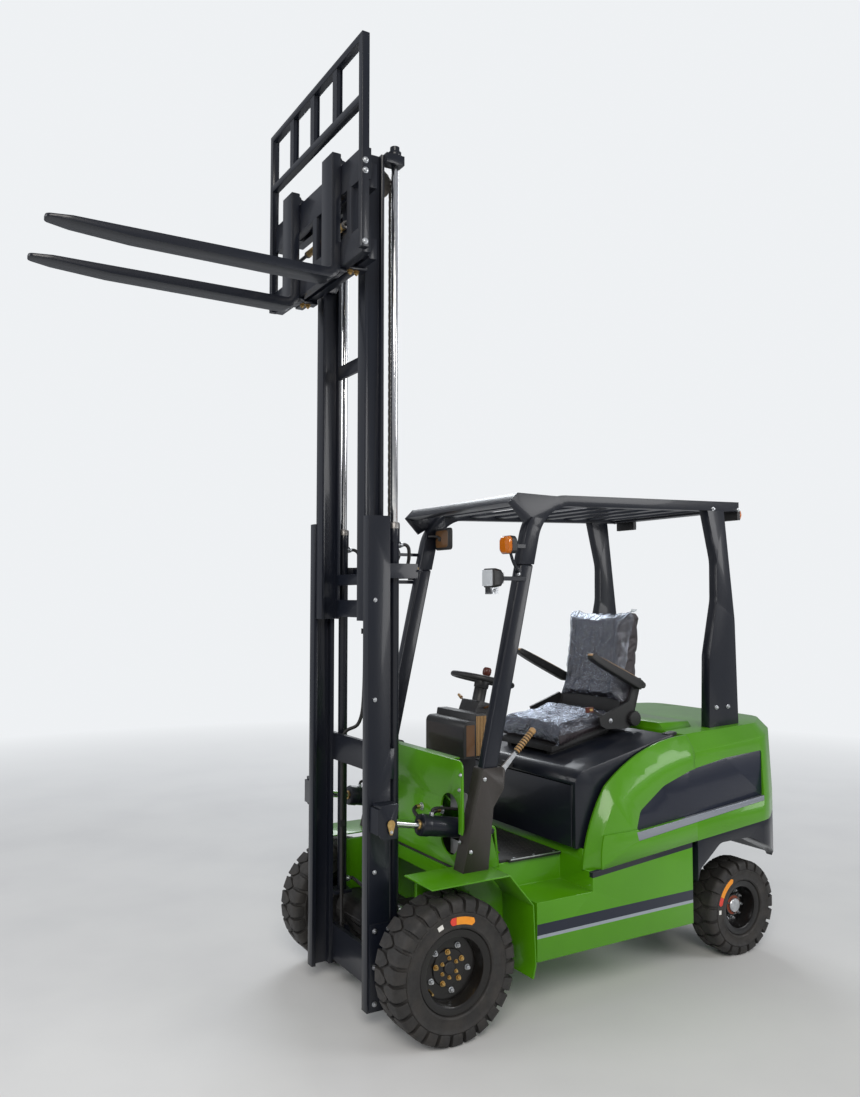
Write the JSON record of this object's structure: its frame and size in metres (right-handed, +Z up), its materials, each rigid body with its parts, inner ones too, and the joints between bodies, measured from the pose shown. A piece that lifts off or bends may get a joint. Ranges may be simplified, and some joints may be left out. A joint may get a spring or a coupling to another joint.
{
  "type": "forklift truck",
  "caption": "Electric counterbalance forklift with a raised two-stage mast, side shifter, forks, overhead guard and steered rear wheels.",
  "frame": {"origin": "on the floor under the middle of the overall length, in the middle plane", "axes": "+X forwards along the forks, +Y to the driver's left, +Z up"},
  "size_m": [3.53, 1.144, 3.915],
  "materials": {
    "green_paint": "gloss",
    "rubber_mat": "matt",
    "grey_paint": "satin",
    "axle_paint": "satin",
    "dark_paint": "gloss",
    "navy_paint": "satin",
    "black_plastic": "matt",
    "lamp": "gloss",
    "amber_lens": "gloss",
    "red_lens": "gloss",
    "seat_vinyl": "matt",
    "chrome": "polished",
    "zinc_steel": "satin",
    "chain_steel": "oiled",
    "tyre": "matt",
    "rim_paint": "gloss",
    "red_paint": "satin"
  },
  "bodies": {
    "truck": {"chassis": "green_paint", "front_fenders": "green_paint", "floor_mat": "rubber_mat", "cowl": "green_paint", "battery": "grey_paint", "drive_axle": "axle_paint", "steer_axle": "axle_paint", "counterweight": "green_paint", "counterweight_skirt": "dark_paint", "side_covers": "green_paint", "side_panels": "navy_paint", "side_strips": "grey_paint", "rear_deck": "green_paint", "front_panel": "dark_paint", "guard_pillars": "dark_paint", "guard_roof": "dark_paint", "guard_rear_legs": "dark_paint", "pillar_boots": "black_plastic", "console": "black_plastic", "control_levers": "black_plastic", "parking_brake": "black_plastic", "pedals": "black_plastic", "head_lamps": "lamp", "turn_lamps": "amber_lens", "rear_lamps": "red_lens", "mirror": "black_plastic"},
    "hood_lid": {"hood": "dark_paint", "seat_base": "black_plastic", "seat_cushion": "seat_vinyl", "seat_back": "seat_vinyl", "armrests": "black_plastic"},
    "steering": {"steering_wheel": "black_plastic"},
    "mast_outer": {"outer_mast": "dark_paint", "lift_barrels": "dark_paint", "anchor_chains": "chain_steel"},
    "mast_inner": {"inner_mast": "dark_paint", "lift_rods": "chrome", "chain_sheaves": "zinc_steel", "carriage_chains": "chain_steel"},
    "lift_carriage": {"carriage": "dark_paint"},
    "side_shifter": {"shifter_frame": "dark_paint", "backrest": "dark_paint", "forks": "dark_paint"},
    "tilt_barrel_pair": {"tilt_barrels": "dark_paint"},
    "tilt_rod_pair": {"tilt_rods": "chrome"},
    "front_wheel_left": {"front_tyre_left": "tyre", "front_rim_left": "rim_paint"},
    "front_wheel_right": {"front_tyre_right": "tyre", "front_rim_right": "rim_paint"},
    "steer_knuckle_left": {"knuckle_left": "red_paint"},
    "steer_knuckle_right": {"knuckle_right": "red_paint"},
    "rear_wheel_left": {"rear_tyre_left": "tyre", "rear_rim_left": "rim_paint"},
    "rear_wheel_right": {"rear_tyre_right": "tyre", "rear_rim_right": "rim_paint"}
  },
  "joints": [
    {"name": "mast_tilt", "type": "hinge", "parent": "truck", "child": "mast_outer", "pos_m": [0.39, 0, 0.21], "axis": [0, 1, 0], "range_deg": [-10, 6]},
    {"name": "mast_lift", "type": "slide", "parent": "mast_outer", "child": "mast_inner", "axis": [0, 0, 1], "range_m": [-1.49, 0], "deforming": ["anchor_chains"]},
    {"name": "carriage_lift", "type": "slide", "parent": "mast_inner", "child": "lift_carriage", "axis": [0, 0, 1], "range_m": [-1.49, 0], "deforming": ["carriage_chains"]},
    {"name": "side_shift", "type": "slide", "parent": "lift_carriage", "child": "side_shifter", "axis": [0, 1, 0], "range_m": [-0.1, 0.1]},
    {"name": "tilt_barrel_swing", "type": "hinge", "parent": "truck", "child": "tilt_barrel_pair", "pos_m": [-0.015, 0, 0.73], "axis": [0, 1, 0], "range_deg": [-3.9, 2.4]},
    {"name": "tilt_rod_slide", "type": "slide", "parent": "tilt_barrel_pair", "child": "tilt_rod_pair", "axis": [0.9833, 0, 0.1821], "range_m": [-0.11, 0.07]},
    {"name": "front_left_roll", "type": "hinge", "parent": "truck", "child": "front_wheel_left", "pos_m": [0.285, 0.476, 0.277], "axis": [0, 1, 0], "continuous": true},
    {"name": "front_right_roll", "type": "hinge", "parent": "truck", "child": "front_wheel_right", "pos_m": [0.285, -0.476, 0.277], "axis": [0, 1, 0], "continuous": true},
    {"name": "steer_left", "type": "hinge", "parent": "truck", "child": "steer_knuckle_left", "pos_m": [-1.381, 0.28, 0.222], "axis": [0, 0, 1], "range_deg": [-60, 60]},
    {"name": "steer_right", "type": "hinge", "parent": "truck", "child": "steer_knuckle_right", "pos_m": [-1.381, -0.28, 0.222], "axis": [0, 0, 1], "range_deg": [-60, 60]},
    {"name": "rear_left_roll", "type": "hinge", "parent": "steer_knuckle_left", "child": "rear_wheel_left", "pos_m": [-1.381, 0.428, 0.222], "axis": [0, 1, 0], "continuous": true},
    {"name": "rear_right_roll", "type": "hinge", "parent": "steer_knuckle_right", "child": "rear_wheel_right", "pos_m": [-1.381, -0.428, 0.222], "axis": [0, 1, 0], "continuous": true},
    {"name": "steering_turn", "type": "hinge", "parent": "truck", "child": "steering", "pos_m": [-0.214, 0, 1.328], "axis": [-0.2419, 0, 0.9703], "continuous": true},
    {"name": "hood_open", "type": "hinge", "parent": "truck", "child": "hood_lid", "pos_m": [-0.943, 0, 1.066], "axis": [0, -1, 0], "range_deg": [0, 45]}
  ],
  "couplings": [
    {"joint": "carriage_lift", "follows": "mast_lift", "ratio": 1},
    {"joint": "tilt_barrel_swing", "follows": "mast_tilt", "ratio": 0.37},
    {"joint": "tilt_rod_slide", "follows": "mast_tilt", "m_per_rad": 0.588},
    {"joint": "steer_right", "follows": "steer_left", "ratio": 1}
  ]
}
